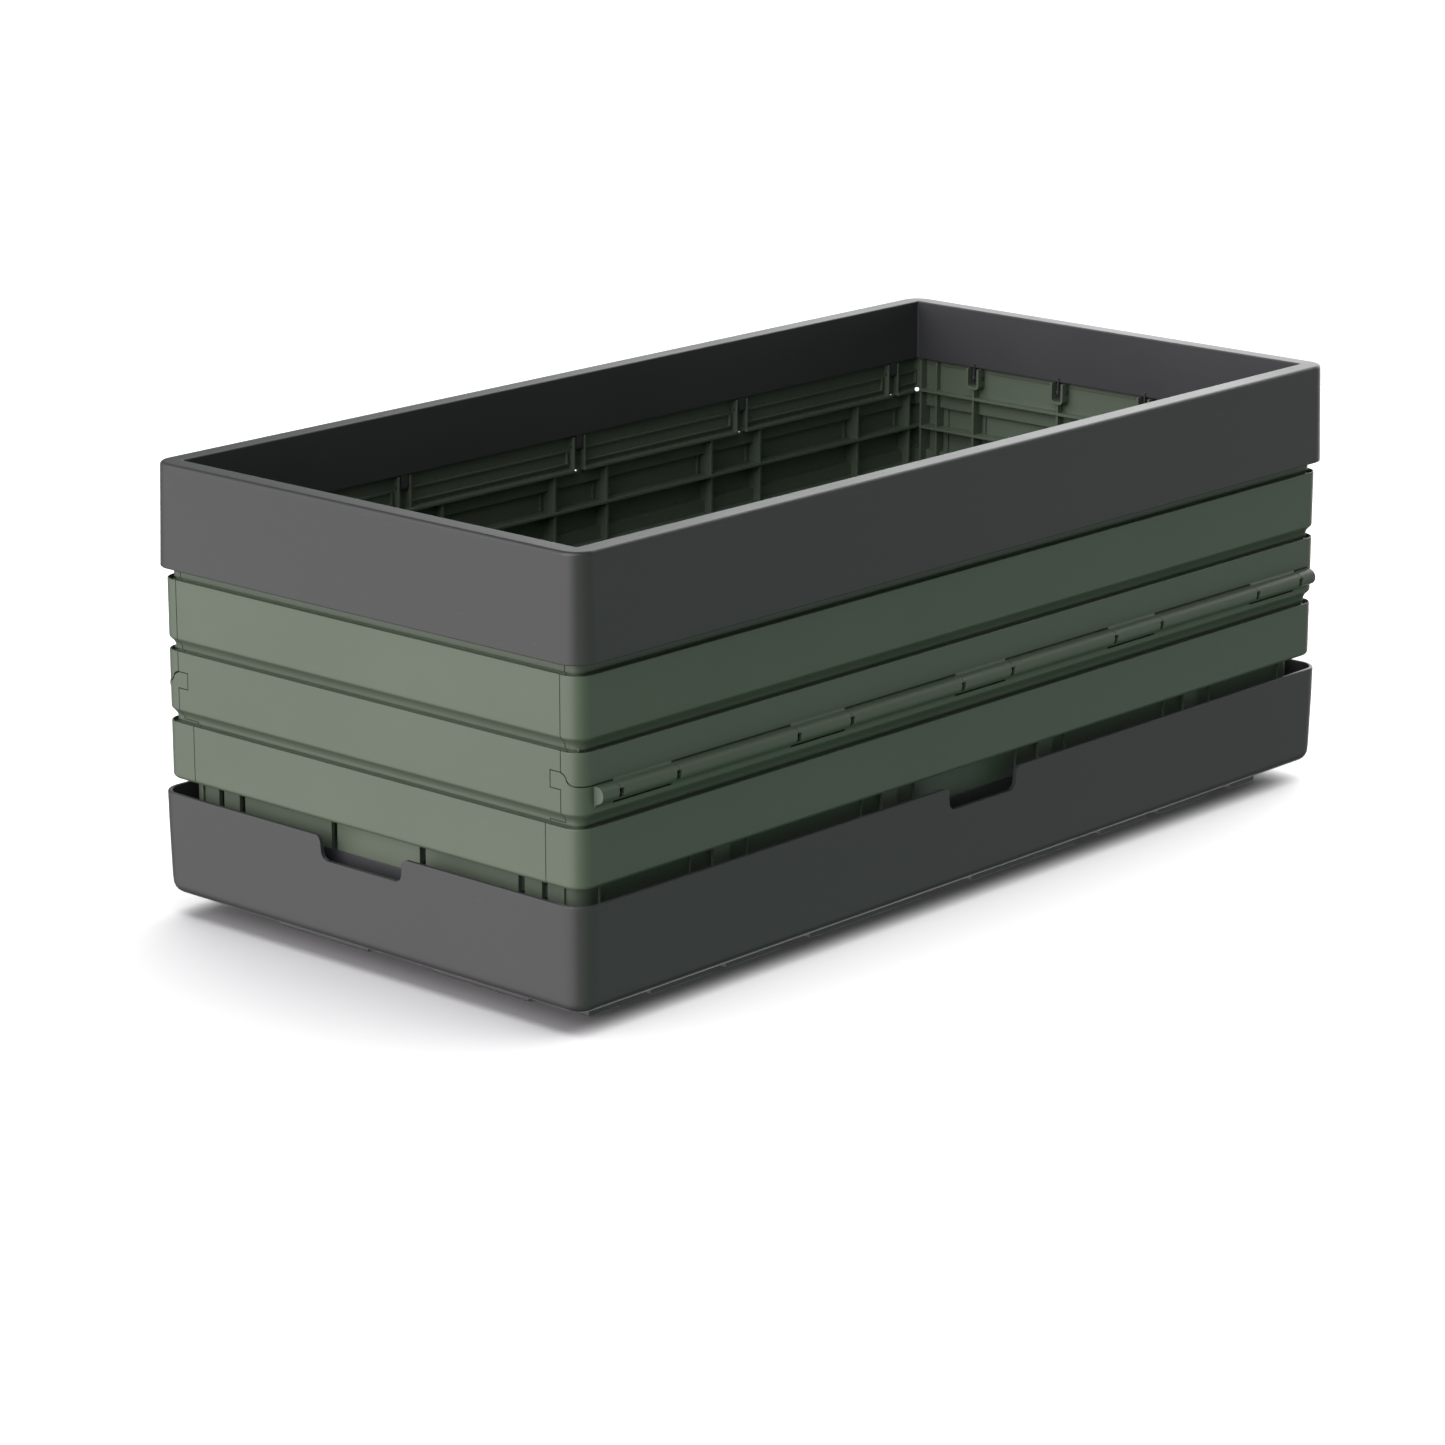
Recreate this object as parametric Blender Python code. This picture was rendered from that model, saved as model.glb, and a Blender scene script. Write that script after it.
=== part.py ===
"""Collapsible storage crate with a fold-in body, a collar frame and a base tray.

World frame: X along the long side, Y across, Z up, origin at the centre of
the footprint on the plane of the stacking feet.  Front is -Y, left is -X.
Lengths are in millimetres and are scaled to metres when a mesh is made.
"In" is measured inwards from the band faces, "out" outwards from them.
"""
import math

import bmesh
import bpy
from mathutils import Matrix, Vector

MM = 0.001

# --------------------------------------------------------- shared dimensions
HALF_L = 395.0          # half length of the crate body over the raised bands
HALF_W = 195.0          # half width of the crate body over the raised bands
FRONT_Y = -HALF_W       # band face of the front side
LEFT_X = -HALF_L        # band face of the left end
CORNER_R = 12.5         # plan radius of the body corners at the band faces
MIN_CORNER_R = 2.0
CORNER_SEGS = 5         # segments in each rounded plan corner
ROUND_SEGS = 12         # segments round each cylinder

# Raised bands, lowest first: (bottom z, top z)
BAND_EDGES = ((96.9, 137.6), (145.0, 187.5), (194.5, 237.0))
PANEL_TOP = 268.2       # top edge of the body panels, inside the collar
GROOVE = 4.5            # depth of the grooves between the bands
SKIN = 3.0              # moulded wall thickness

RIB_DEPTH = 15.0        # depth of the horizontal rib faces behind the band faces
UPRIGHT_DEPTH = RIB_DEPTH - 0.4   # upright ribs stop just short of them
RIB_T = 2.0             # rib thickness
RIB_ROWS = (247.0, 217.7, 188.4, 159.1, 129.9, 99.0)
RIB_OVERLAP = 0.4       # upright ribs end this far inside the row ribs
UPRIGHT_BOTTOM = RIB_ROWS[-1] + RIB_OVERLAP

# Seam between the side panels, which wrap the corners, and the end panels
SEAM_Y = 178.5          # vertical seam
SEAM_LOW_Y = 165.0      # the same seam beside the lowest band
SEAM_STEP_Z = 139.4
SPLIT_Z = 165.1         # height of the fold line between the two side halves
TAB_INNER_Y = 168.5     # interlocking tab of the lower side half
TAB_OUTER_Y = 180.2
TAB_BOTTOM = 162.1
TAB_TOP = 174.2
GAP = 0.5               # moulded clearance at seams and splits
HALF_GAP = GAP / 2

# Fold hinge along each long side
BARREL_OUT = 2.5        # hinge axis outside the band faces
BARREL_Z = 159.0
BARREL_R = 5.7
ROD_R = 1.6
PITCH = 168.8           # spacing of the short knuckles
SHORT_CENTRES = [k * PITCH for k in (-2, -1, 0, 1, 2)]
LONG_CENTRES = [k * PITCH / 2 for k in (-3, -1, 1, 3)]

# Pivots that carry the frame on the body panels
PIVOT_IN = 9.6
PIVOT_Z = 263.2
PIN_R = 1.5
BORE_CLEARANCE = 0.35   # on radius
BORE_R = PIN_R + BORE_CLEARANCE
ROD_BORE_R = ROD_R + BORE_CLEARANCE
CHEEK_INNER = 4.2       # cheeks beside each hanging arm, from the arm centre
CHEEK_OUTER = 6.4
POCKET_BOTTOM = 254.7
POCKET_IN = 15.4
SLOT_IN = (6.3, 20.0)   # slot for the arm: near and far side
SLOT_Z = (POCKET_BOTTOM + 2.2, 275.0)
END_PIVOTS_Y = [k * 41.5 for k in (-3, -1, 1, 3)]
SIDE_PIVOTS_X = [k * 177.0 for k in (-2, -1, 0, 1, 2)]

# Hinge between the lower side halves and the inset base
BASE_HINGE_IN = 7.4
BASE_HINGE_Z = 79.5
BASE_HINGE_R = 3.6

BORE_HALF = 390.0       # half length of the long rod bores

# Limits of the outlines that cut out the panels, clear of the body
CLEAR_X = 410.0
CLEAR_Y = 215.0
CLEAR_BOTTOM = 80.0
CLEAR_TOP = 280.0

# ------------------------------------------------------------------- colours
GRAPHITE = (0.055, 0.057, 0.060)
SAGE = (0.115, 0.150, 0.108)
STEEL = (0.12, 0.125, 0.13)


def material(name, colour, roughness, metallic=0.0):
    mat = bpy.data.materials.new(name)
    mat.use_nodes = True
    shader = mat.node_tree.nodes["Principled BSDF"]
    shader.inputs["Base Color"].default_value = (*colour, 1.0)
    shader.inputs["Roughness"].default_value = roughness
    shader.inputs["Metallic"].default_value = metallic
    return mat


def sage(name):
    return material(name, SAGE, roughness=0.5)


def graphite(name):
    return material(name, GRAPHITE, roughness=0.45)


def steel(name):
    return material(name, STEEL, roughness=0.3, metallic=1.0)


# -------------------------------------------------------------------- solids
def box(x0, x1, y0, y1, z0, z1):
    """Box between two corners; each pair may be given in either order."""
    bm = bmesh.new()
    bmesh.ops.create_cube(bm, size=1.0)
    size = Vector((abs(x1 - x0), abs(y1 - y0), abs(z1 - z0)))
    centre = Vector(((x0 + x1) / 2, (y0 + y1) / 2, (z0 + z1) / 2))
    bmesh.ops.scale(bm, vec=size, verts=bm.verts[:])
    bmesh.ops.translate(bm, vec=centre, verts=bm.verts[:])
    return bm


def cylinder(axis, low, high, centre, radius):
    """Closed cylinder along axis 'x' or 'y'; centre is its other two coordinates."""
    bm = bmesh.new()
    bmesh.ops.create_cone(bm, cap_ends=True, segments=ROUND_SEGS,
                          radius1=radius, radius2=radius, depth=high - low)
    turn = Matrix.Rotation(math.radians(90), 4, "Y" if axis == "x" else "X")
    middle = (low + high) / 2
    across, z = centre
    place = (middle, across, z) if axis == "x" else (across, middle, z)
    bmesh.ops.transform(bm, matrix=Matrix.Translation(place) @ turn, verts=bm.verts[:])
    return bm


def centred_cylinder(axis, middle, half, centre, radius):
    return cylinder(axis, middle - half, middle + half, centre, radius)


def prism(points, axis, low, high):
    """Extrude a closed outline along axis 'x' (points are y, z) or 'y' (points are x, z)."""
    bm = bmesh.new()
    if axis == "x":
        verts = [bm.verts.new((low, y, z)) for y, z in points]
        step = Vector((high - low, 0, 0))
    else:
        verts = [bm.verts.new((x, low, z)) for x, z in points]
        step = Vector((0, high - low, 0))
    face = bm.faces.new(verts)
    extruded = bmesh.ops.extrude_face_region(bm, geom=[face])["geom"]
    moved = [item for item in extruded if isinstance(item, bmesh.types.BMVert)]
    bmesh.ops.translate(bm, vec=step, verts=moved)
    return bm


def plan_loop(out, radius=None):
    """Rounded rectangle that stands 'out' outside the band faces."""
    half_x, half_y = HALF_L + out, HALF_W + out
    if radius is None:
        radius = max(CORNER_R + out, MIN_CORNER_R)
    points = []
    for sign_x, sign_y, start in ((1, 1, 0), (-1, 1, 90), (-1, -1, 180), (1, -1, 270)):
        centre_x = sign_x * (half_x - radius)
        centre_y = sign_y * (half_y - radius)
        for i in range(CORNER_SEGS + 1):
            angle = math.radians(start + 90.0 * i / CORNER_SEGS)
            points.append((centre_x + radius * math.cos(angle),
                           centre_y + radius * math.sin(angle)))
    return points


def plan_loops(bm, levels, radius=None):
    """One loop of vertices for each (out, z) level."""
    return [[bm.verts.new((x, y, z)) for x, y in plan_loop(out, radius)]
            for out, z in levels]


def bridge(bm, loop_a, loop_b):
    count = len(loop_a)
    for i in range(count):
        j = (i + 1) % count
        bm.faces.new((loop_a[i], loop_a[j], loop_b[j], loop_b[i]))


def swept_ring(profile):
    """Sweep a closed (out, z) profile round the plan of the crate."""
    bm = bmesh.new()
    loops = plan_loops(bm, profile)
    for loop_a, loop_b in zip(loops, loops[1:] + loops[:1]):
        bridge(bm, loop_a, loop_b)
    return bm


def stack(levels, radius=None):
    """Closed solid through a stack of (out, z) plan sections."""
    bm = bmesh.new()
    loops = plan_loops(bm, levels, radius)
    for loop_a, loop_b in zip(loops, loops[1:]):
        bridge(bm, loop_a, loop_b)
    bm.faces.new(loops[0][::-1])
    bm.faces.new(loops[-1])
    return bm


# ------------------------------------------------------- objects and booleans
def add(name, bm, collection):
    """Make an object from a bmesh whose coordinates are in millimetres."""
    bmesh.ops.recalc_face_normals(bm, faces=bm.faces[:])
    bmesh.ops.scale(bm, vec=Vector((MM, MM, MM)), verts=bm.verts[:])
    mesh = bpy.data.meshes.new(name)
    bm.to_mesh(mesh)
    bm.free()
    obj = bpy.data.objects.new(name, mesh)
    collection.objects.link(obj)
    return obj


def boolean(target, bm, operation):
    """Apply one exact boolean to target and drop the operand."""
    tool = add("tool", bm, cutter_coll)
    modifier = target.modifiers.new("cut", "BOOLEAN")
    modifier.operation = operation
    modifier.solver = "EXACT"
    modifier.object = tool
    bpy.context.view_layer.update()
    graph = bpy.context.evaluated_depsgraph_get()
    result = bpy.data.meshes.new_from_object(target.evaluated_get(graph))
    target.modifiers.clear()
    old_mesh = target.data
    target.data = result
    bpy.data.meshes.remove(old_mesh)
    bpy.data.objects.remove(tool, do_unlink=True)


def union(target, bm):
    boolean(target, bm, "UNION")


def cut(target, bm):
    boolean(target, bm, "DIFFERENCE")


def tidy(obj, mat):
    """Weld stray points, name the mesh and give it its own material."""
    bm = bmesh.new()
    bm.from_mesh(obj.data)
    weld = 0.000004  # metres
    bmesh.ops.remove_doubles(bm, verts=bm.verts[:], dist=weld)
    bmesh.ops.dissolve_degenerate(bm, edges=bm.edges[:], dist=weld)
    bm.to_mesh(obj.data)
    bm.free()
    obj.data.name = obj.name
    obj.data.materials.clear()
    obj.data.materials.append(mat)


def turned_copy(obj, name, mat):
    """The opposite piece: the same mesh turned half a turn about the vertical."""
    mesh = obj.data.copy()
    mesh.transform(Matrix.Rotation(math.pi, 4, "Z"))
    copy = bpy.data.objects.new(name, mesh)
    crate_coll.objects.link(copy)
    tidy(copy, mat)
    return copy


def set_origin(obj, point):
    """Put the object's origin on a point given in millimetres."""
    origin = Vector(point) * MM
    obj.data.transform(Matrix.Translation(-origin))
    obj.location = origin


def signed_span(sign, near, far):
    """The span from near to far on one side of zero, in rising order."""
    return sorted((sign * near, sign * far))


# ------------------------------------------------------- banded body section
def body_profile():
    """Closed (out, z) section: up the outer face, then down the inner face."""
    outer, inner = [], []
    groove_inner = -GROOVE - SKIN
    for bottom, top in BAND_EDGES:
        outer += [(-GROOVE, bottom), (0, bottom), (0, top), (-GROOVE, top)]
    for bottom, top in reversed(BAND_EDGES):
        inner += [(groove_inner, top - SKIN), (-SKIN, top - SKIN),
                  (-SKIN, bottom + SKIN), (groove_inner, bottom + SKIN)]
    # The lowest band is open at its lower edge.
    outer = outer[1:] + [(-GROOVE, PANEL_TOP)]
    inner = [(groove_inner, PANEL_TOP)] + inner[:-2] + [(-SKIN, BAND_EDGES[0][0])]
    return outer + inner


def rib_profile(z0, z1):
    """Outline (in, z) of an upright rib that follows the skin; z0 lies within a band."""
    band_middle = SKIN / 2
    groove_middle = GROOVE + band_middle
    points = [(UPRIGHT_DEPTH, z0), (UPRIGHT_DEPTH, z1)]
    level = z1
    for bottom, top in reversed(BAND_EDGES):
        low, high = max(bottom + 1.0, z0), min(top - 1.0, z1)
        if high <= low:
            continue
        if level > high:
            points += [(groove_middle, level), (groove_middle, high)]
        points += [(band_middle, high), (band_middle, low)]
        level = low
    return points


def row_depth(z):
    """Where a horizontal rib at height z starts inside the skin."""
    in_band = any(bottom < z < top for bottom, top in BAND_EDGES)
    return SKIN / 2 if in_band else GROOVE + SKIN / 2


# ------------------------------------------------------------- seam outlines
# Curve from the tab top down to the fold line: (y, z), mirrored for use at the front
SEAM_CURVE = ((182.6, 172.2), (184.6, 168.6), (187.2, 166.4), (190.7, 165.4))
END_CLEARANCE = 0.3     # end panel edge inside the seam


def side_lower_outline():
    points = [(CLEAR_Y, CLEAR_BOTTOM), (SEAM_LOW_Y, CLEAR_BOTTOM),
              (SEAM_LOW_Y, SEAM_STEP_Z), (SEAM_Y, SEAM_STEP_Z),
              (SEAM_Y, TAB_BOTTOM), (TAB_INNER_Y, TAB_BOTTOM),
              (TAB_INNER_Y, TAB_TOP), (TAB_OUTER_Y - HALF_GAP, TAB_TOP)]
    points += [(y, z - HALF_GAP) for y, z in SEAM_CURVE]
    points.append((CLEAR_Y, SPLIT_Z - HALF_GAP))
    return [(-y, z) for y, z in points]


def side_upper_outline():
    points = [(SEAM_Y, CLEAR_TOP), (SEAM_Y, TAB_TOP + GAP),
              (TAB_OUTER_Y + HALF_GAP, TAB_TOP + GAP)]
    points += [(y + HALF_GAP, z + HALF_GAP) for y, z in SEAM_CURVE]
    points += [(CLEAR_Y, SPLIT_Z + HALF_GAP), (CLEAR_Y, CLEAR_TOP)]
    return [(-y, z) for y, z in points]


def end_outline():
    low_y, high_y = SEAM_LOW_Y - END_CLEARANCE, SEAM_Y - END_CLEARANCE
    step_z = SEAM_STEP_Z + END_CLEARANCE
    half = [(low_y, CLEAR_BOTTOM), (low_y, step_z), (high_y, step_z),
            (high_y, TAB_BOTTOM - GAP), (TAB_INNER_Y - GAP, TAB_BOTTOM - GAP),
            (TAB_INNER_Y - GAP, TAB_TOP + GAP), (high_y, TAB_TOP + GAP), (high_y, CLEAR_TOP)]
    return half + [(-y, z) for y, z in reversed(half)]


# --------------------------------------------------------------- side panels
SIDE_RIB_END = HALF_L - 6.0       # half length of the horizontal ribs
SIDE_RIBS_X = sorted(sign * x for sign in (-1, 1)
                     for x in (27.4, 141.4, 196.2, 310.2, 372.0))
UPPER_LEDGE_Z = SPLIT_Z + HALF_GAP + 0.2    # underside of the ledge above the fold
LOWER_LEDGE_Z = SPLIT_Z - HALF_GAP - 0.4    # top of the ledge below the fold
CHEEK_BOTTOM = 246.4
SIDE_BORE_HALF = 8.0

SHORT_HALF = 26.6                 # half length of the short knuckles
LONG_HALF = 57.0                  # half length of the long knuckles
END_KNUCKLE = (365.1, 383.0)      # x span of the end knuckles
FLANGE_HALF = 27.0                # half width of the notches for the flanges
FLANGE_CLEARANCE = 0.3
FLANGE_Z = 153.0
FOLD_AXIS = (FRONT_Y - BARREL_OUT, BARREL_Z)

SIDE_BASE_KNUCKLE_HALF = 10.0
SIDE_BASE_HANGER_HALF_T = 1.5
FRONT_BASE_HINGE_Y = FRONT_Y + BASE_HINGE_IN


def add_front_shelf(panel, depth, z0, z1):
    """Horizontal rib from 'depth' behind the band face to the rib faces."""
    union(panel, box(-SIDE_RIB_END, SIDE_RIB_END, FRONT_Y + depth, FRONT_Y + RIB_DEPTH, z0, z1))


def add_front_rows(panel, rows):
    for z in rows:
        add_front_shelf(panel, row_depth(z), z - RIB_T / 2, z + RIB_T / 2)


def add_front_uprights(panel, z0, z1):
    points = [(FRONT_Y + depth, z) for depth, z in rib_profile(z0, z1)]
    for x in SIDE_RIBS_X:
        union(panel, prism(points, "x", x - RIB_T / 2, x + RIB_T / 2))


def front_panel(name, outline):
    panel = add(name, swept_ring(body_profile()), crate_coll)
    boolean(panel, prism(outline, "x", -CLEAR_X, CLEAR_X), "INTERSECT")
    return panel


def build_upper_sides():
    panel = front_panel("front_upper_side", side_upper_outline())
    add_front_rows(panel, RIB_ROWS[:3])
    add_front_shelf(panel, SKIN / 2, UPPER_LEDGE_Z, UPPER_LEDGE_Z + RIB_T)
    add_front_uprights(panel, SPLIT_Z + 1.2, RIB_ROWS[0] - RIB_OVERLAP)

    # Cheeks, bore and slot at each frame pivot
    for x in SIDE_PIVOTS_X:
        for sign in (-1, 1):
            union(panel, box(x + sign * CHEEK_INNER, x + sign * CHEEK_OUTER,
                             FRONT_Y + GROOVE + 1.0, FRONT_Y + POCKET_IN,
                             CHEEK_BOTTOM, PANEL_TOP))
        cut(panel, centred_cylinder("x", x, SIDE_BORE_HALF,
                                    (FRONT_Y + PIVOT_IN, PIVOT_Z), BORE_R))
        cut(panel, box(x - CHEEK_INNER, x + CHEEK_INNER,
                       FRONT_Y + SLOT_IN[0], FRONT_Y + SLOT_IN[1], *SLOT_Z))

    # Flanges that reach down to the short knuckles
    half = FLANGE_HALF - FLANGE_CLEARANCE
    for x in SHORT_CENTRES:
        union(panel, box(x - half, x + half, FRONT_Y, FRONT_Y + SKIN,
                         FLANGE_Z + HALF_GAP, SPLIT_Z + 1.4))
        union(panel, centred_cylinder("x", x, SHORT_HALF, FOLD_AXIS, BARREL_R))
    cut(panel, cylinder("x", -BORE_HALF, BORE_HALF, FOLD_AXIS, ROD_BORE_R))

    tidy(panel, sage("sage_upper_side"))
    turned_copy(panel, "back_upper_side", sage("sage_upper_side_back"))


def build_lower_sides():
    panel = front_panel("front_lower_side", side_lower_outline())
    add_front_shelf(panel, SKIN / 2, LOWER_LEDGE_Z - RIB_T, LOWER_LEDGE_Z)
    add_front_rows(panel, RIB_ROWS[4:])
    add_front_uprights(panel, UPRIGHT_BOTTOM, SPLIT_Z - 1.8)

    # Notches for the flanges of the upper half
    for x in SHORT_CENTRES:
        cut(panel, box(x - FLANGE_HALF, x + FLANGE_HALF, FRONT_Y - 2, FRONT_Y + SKIN + 0.4,
                       FLANGE_Z - HALF_GAP, SPLIT_Z + 3))

    # Fold hinge knuckles
    for x in LONG_CENTRES:
        union(panel, centred_cylinder("x", x, LONG_HALF, FOLD_AXIS, BARREL_R))
    for sign in (-1, 1):
        low, high = signed_span(sign, *END_KNUCKLE)
        union(panel, cylinder("x", low, high, FOLD_AXIS, BARREL_R))
    cut(panel, cylinder("x", -BORE_HALF, BORE_HALF, FOLD_AXIS, ROD_BORE_R))

    # Hangers and knuckles of the base hinge
    base_axis = (FRONT_BASE_HINGE_Y, BASE_HINGE_Z)
    half = SIDE_BASE_KNUCKLE_HALF
    for x in LONG_CENTRES:
        union(panel, box(x - half, x + half,
                         FRONT_BASE_HINGE_Y - SIDE_BASE_HANGER_HALF_T,
                         FRONT_BASE_HINGE_Y + SIDE_BASE_HANGER_HALF_T,
                         BASE_HINGE_Z, RIB_ROWS[-1] - RIB_OVERLAP))
        union(panel, centred_cylinder("x", x, half, base_axis, BASE_HINGE_R))
    cut(panel, cylinder("x", -BORE_HALF, BORE_HALF, base_axis, BORE_R))

    tidy(panel, sage("sage_lower_side"))
    turned_copy(panel, "back_lower_side", sage("sage_lower_side_back"))


# ---------------------------------------------------------------- end panels
END_CUT_INNER_X = -370.0          # inner limit of the cut-out for the left end
END_RIB_CLEARANCE = 0.6           # rib ends inside the seam
END_EDGE_CLEARANCE = 0.8          # edge ribs inside the seam
TOP_RIB_T = 2.2
END_BORE_HALF = 9.0


def build_end_panels():
    panel = add("left_end_panel", swept_ring(body_profile()), crate_coll)
    boolean(panel, prism(end_outline(), "x", -CLEAR_X, END_CUT_INNER_X), "INTERSECT")

    # Horizontal ribs, then the one along the top edge
    rib_face = LEFT_X + RIB_DEPTH
    for z in RIB_ROWS:
        half = (SEAM_LOW_Y if z < SEAM_STEP_Z else SEAM_Y) - END_RIB_CLEARANCE
        union(panel, box(LEFT_X + row_depth(z), rib_face, -half, half,
                         z - RIB_T / 2, z + RIB_T / 2))
    half = SEAM_Y - END_RIB_CLEARANCE
    union(panel, box(LEFT_X + GROOVE + 1.0, rib_face, -half, half,
                     PANEL_TOP - TOP_RIB_T, PANEL_TOP))

    # Upright ribs below the pockets
    points = [(LEFT_X + depth, z)
              for depth, z in rib_profile(UPRIGHT_BOTTOM, POCKET_BOTTOM + 0.2)]
    for y in END_PIVOTS_Y:
        union(panel, prism(points, "y", y - RIB_T / 2, y + RIB_T / 2))

    # Upright ribs along the seams: (seam y, bottom z, top z)
    edge_ribs = ((SEAM_Y, TAB_TOP + 2.0, PANEL_TOP - 0.6),
                 (SEAM_LOW_Y, UPRIGHT_BOTTOM, RIB_ROWS[2] - RIB_OVERLAP))
    for sign in (-1, 1):
        for seam, z0, z1 in edge_ribs:
            edge = seam - END_EDGE_CLEARANCE
            low, high = signed_span(sign, edge, edge - RIB_T)
            points = [(LEFT_X + depth, z) for depth, z in rib_profile(z0, z1)]
            union(panel, prism(points, "y", low, high))

    # Pocket, bore and slot at each frame pivot
    for y in END_PIVOTS_Y:
        union(panel, box(LEFT_X + GROOVE + 1.2, LEFT_X + POCKET_IN,
                         y - CHEEK_OUTER, y + CHEEK_OUTER, POCKET_BOTTOM, PANEL_TOP))
        cut(panel, centred_cylinder("y", y, END_BORE_HALF,
                                    (LEFT_X + PIVOT_IN, PIVOT_Z), BORE_R))
        cut(panel, box(LEFT_X + SLOT_IN[0], LEFT_X + SLOT_IN[1],
                       y - CHEEK_INNER, y + CHEEK_INNER, *SLOT_Z))

    tidy(panel, sage("sage_left_end"))
    right = turned_copy(panel, "right_end_panel", sage("sage_right_end"))
    set_origin(panel, (-HALF_L + PIVOT_IN, 0, PIVOT_Z))
    set_origin(right, (HALF_L - PIVOT_IN, 0, PIVOT_Z))


# -------------------------------------------------------------- collar frame
FRAME_TOP = 316.8       # top of the collar frame, and overall height
FRAME_BOTTOM = 244.9    # lower edge of the outer skirt
FRAME_INNER_BOTTOM = 271.8
FRAME_OUT_TOP = 2.5     # skirt stands this far outside the bands, at the top
FRAME_OUT_BOTTOM = 4.5  # and at its lower edge
FRAME_INNER = 12.5      # inner wall face, measured in from the band faces
FRAME_WALL = 2.6        # skirt and top thickness
FRAME_INNER_WALL = 2.9

ARM_HALF = 3.5          # half width of the hanging arms
ARM_HALF_T = 2.6
ARM_EYE_R = 2.65
ARM_TOP = 276.0
ARM_BORE_HALF = 5.0


def frame_profile():
    """Closed (out, z) section: an upside-down channel with a long outer skirt."""
    inner = -FRAME_INNER
    return [
        (FRAME_OUT_BOTTOM, FRAME_BOTTOM),
        (FRAME_OUT_TOP, FRAME_TOP - 2.2),
        (FRAME_OUT_TOP - 0.6, FRAME_TOP - 0.7),
        (FRAME_OUT_TOP - 2.1, FRAME_TOP),
        (inner + 0.4, FRAME_TOP),
        (inner, FRAME_TOP - 0.4),
        (inner, FRAME_INNER_BOTTOM),
        (inner + FRAME_INNER_WALL, FRAME_INNER_BOTTOM),
        (inner + FRAME_INNER_WALL, FRAME_TOP - FRAME_WALL),
        (FRAME_OUT_TOP - FRAME_WALL - 0.5, FRAME_TOP - FRAME_WALL),
        (FRAME_OUT_BOTTOM - FRAME_WALL, FRAME_BOTTOM),
    ]


def add_arm(frame, axis, along, across):
    """Hanging arm with a bored eye, 'along' its pivot axis and 'across' from the centre."""
    width = (along - ARM_HALF, along + ARM_HALF)
    thickness = (across - ARM_HALF_T, across + ARM_HALF_T)
    spans = width + thickness if axis == "x" else thickness + width
    centre = (across, PIVOT_Z)
    union(frame, box(*spans, PIVOT_Z, ARM_TOP))
    union(frame, centred_cylinder(axis, along, ARM_HALF, centre, ARM_EYE_R))
    cut(frame, centred_cylinder(axis, along, ARM_BORE_HALF, centre, BORE_R))


def build_frame():
    frame = add("top_frame", swept_ring(frame_profile()), crate_coll)
    for axis, centres, half in (("y", END_PIVOTS_Y, HALF_L), ("x", SIDE_PIVOTS_X, HALF_W)):
        for sign in (-1, 1):
            for along in centres:
                add_arm(frame, axis, along, sign * (half - PIVOT_IN))
    tidy(frame, graphite("graphite_frame"))


# ----------------------------------------------------------------- base tray
TRAY_TOP = 87.9
TRAY_BOTTOM = 15.2
TRAY_OUT_TOP = 4.3
TRAY_OUT_LOW = 2.5
TRAY_FILLET = 9.0
TRAY_FILLET_DEGREES = (60, 35, 12)
TRAY_WALL = 3.0
LONG_SIDE_NOTCH_HALF = 36.5   # half width of the hand notches
SHORT_SIDE_NOTCH_HALF = 38.5
NOTCH_Z = 71.5
NOTCH_CORNER = 5.0
FOOT_OVERLAP = 1.2            # feet rise this far into the tray floor
# Feet in one quarter of the tray: x spans, and their common y span
FEET_X = ((27.0, 144.0), (172.0, 229.0), (241.5, 300.0), (330.0, 356.0))
FEET_Y = (146.0, 169.0)


def tray_outer_levels():
    levels = [(TRAY_OUT_LOW - TRAY_FILLET, TRAY_BOTTOM)]
    for degrees in TRAY_FILLET_DEGREES:
        angle = math.radians(degrees)
        levels.append((TRAY_OUT_LOW - TRAY_FILLET * (1 - math.cos(angle)),
                       TRAY_BOTTOM + TRAY_FILLET * (1 - math.sin(angle))))
    return levels + [(TRAY_OUT_LOW, TRAY_BOTTOM + TRAY_FILLET), (TRAY_OUT_TOP, TRAY_TOP)]


def tray_inner_levels():
    floor = TRAY_BOTTOM + TRAY_WALL
    return [(TRAY_OUT_LOW - TRAY_FILLET - 1.0, floor),
            (TRAY_OUT_LOW - TRAY_WALL - 2.2, floor + 2.0),
            (TRAY_OUT_LOW - TRAY_WALL, TRAY_BOTTOM + TRAY_FILLET),
            (TRAY_OUT_TOP - TRAY_WALL, TRAY_TOP + 1.0)]


def notch_outline(half):
    """Hand notch with flared top corners and eased bottom corners."""
    points = [(-half - NOTCH_CORNER, TRAY_TOP + 3),
              (-half - NOTCH_CORNER, TRAY_TOP),
              (-half - 1.4, TRAY_TOP - 1.4),
              (-half, TRAY_TOP - NOTCH_CORNER),
              (-half + 0.6, NOTCH_Z + NOTCH_CORNER),
              (-half + 2.2, NOTCH_Z + 1.5),
              (-half + 6.2, NOTCH_Z)]
    return points + [(-across, z) for across, z in reversed(points)]


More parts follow.
